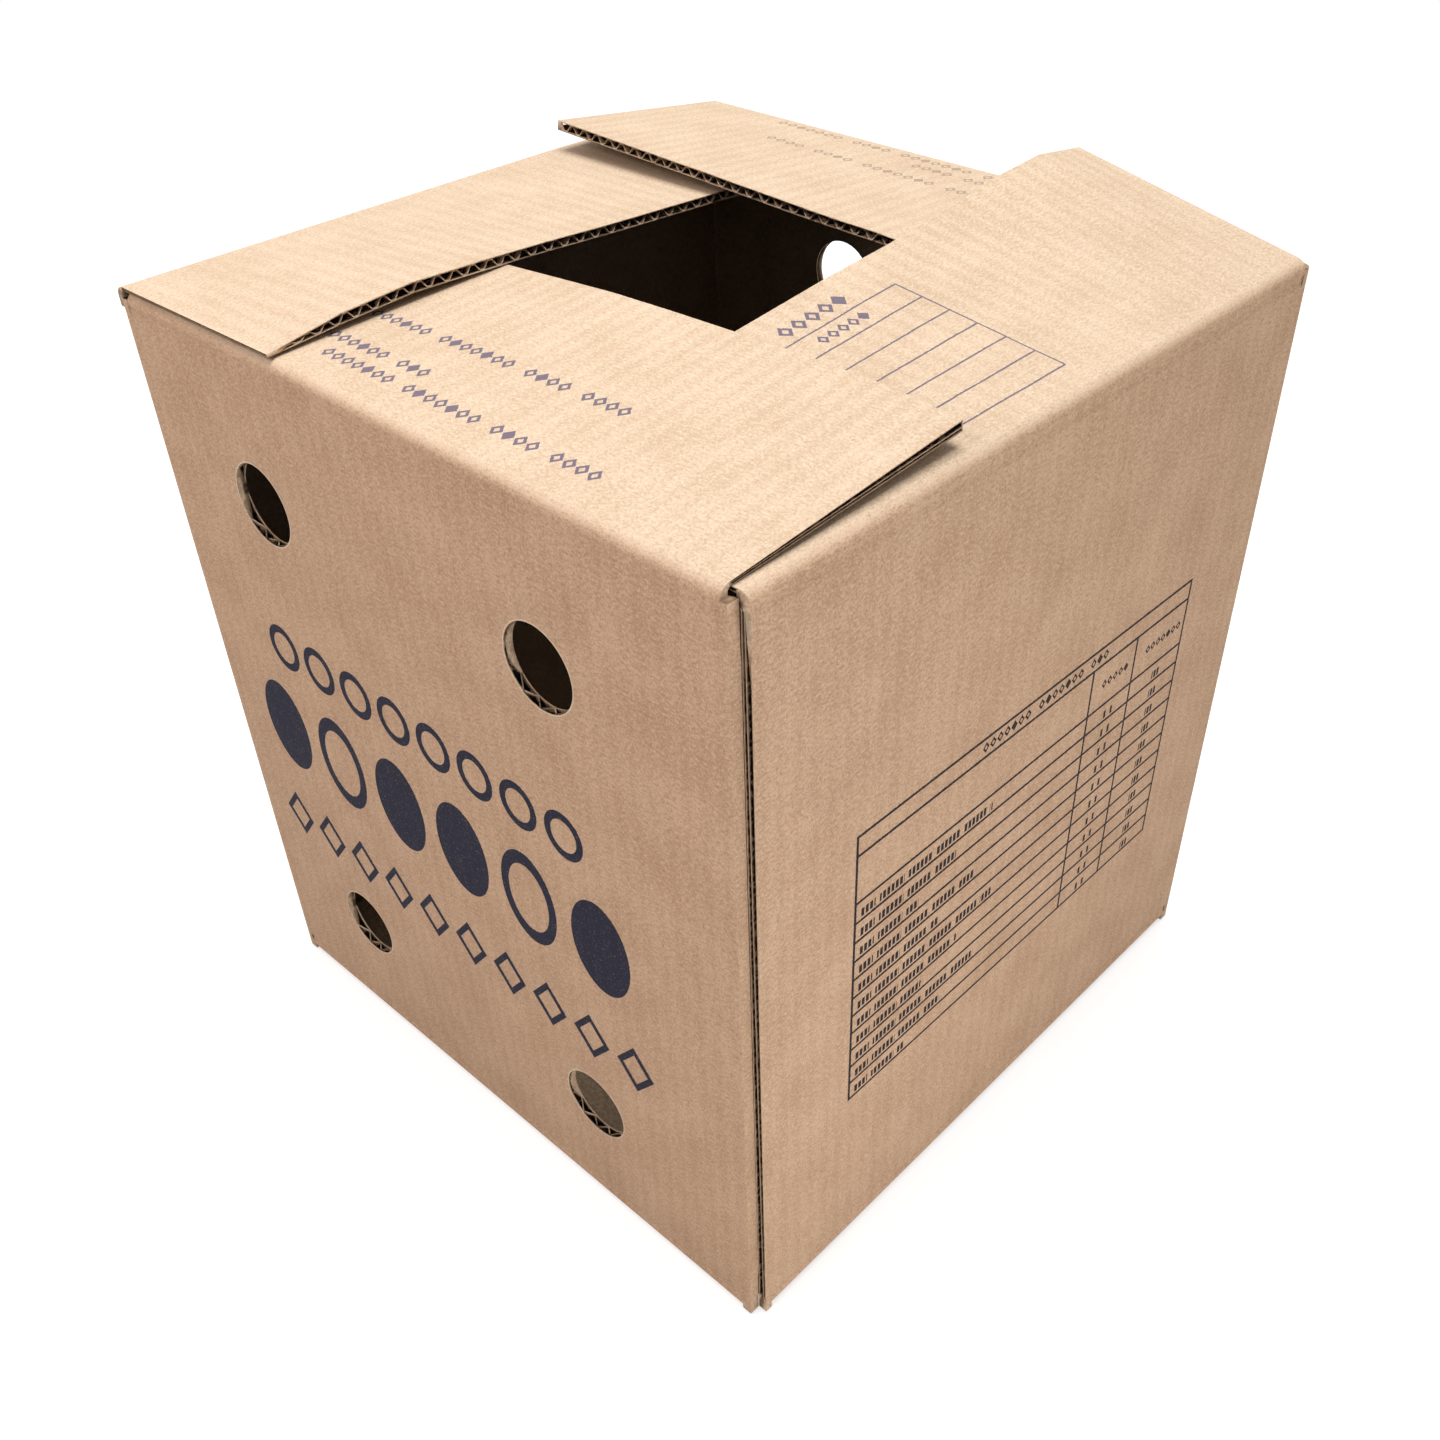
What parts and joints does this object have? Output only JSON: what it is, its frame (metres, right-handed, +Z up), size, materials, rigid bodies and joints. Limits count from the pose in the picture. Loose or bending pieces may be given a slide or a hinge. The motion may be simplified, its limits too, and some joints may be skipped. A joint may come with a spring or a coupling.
{
  "type": "interlocked corrugated carton",
  "caption": "Near-cubic corrugated carton for egg trays, its top flaps interlocked around a square opening, with round vent holes front and back.",
  "frame": {"origin": "centre of the carton's bounding box in plan, on the floor under the outer bottom flaps", "axes": "X runs along the front wall, the one with vent holes beside the glued corner, from left to right; Y runs from that wall to the back; Z is up"},
  "size_m": [0.31, 0.307, 0.3618],
  "materials": {
    "board": "uncoated brown kraft liner, matt, with a faint stripe over each flute and navy and violet flexo print"
  },
  "bodies": {
    "root": {"carton": "board"}
  },
  "joints": []
}
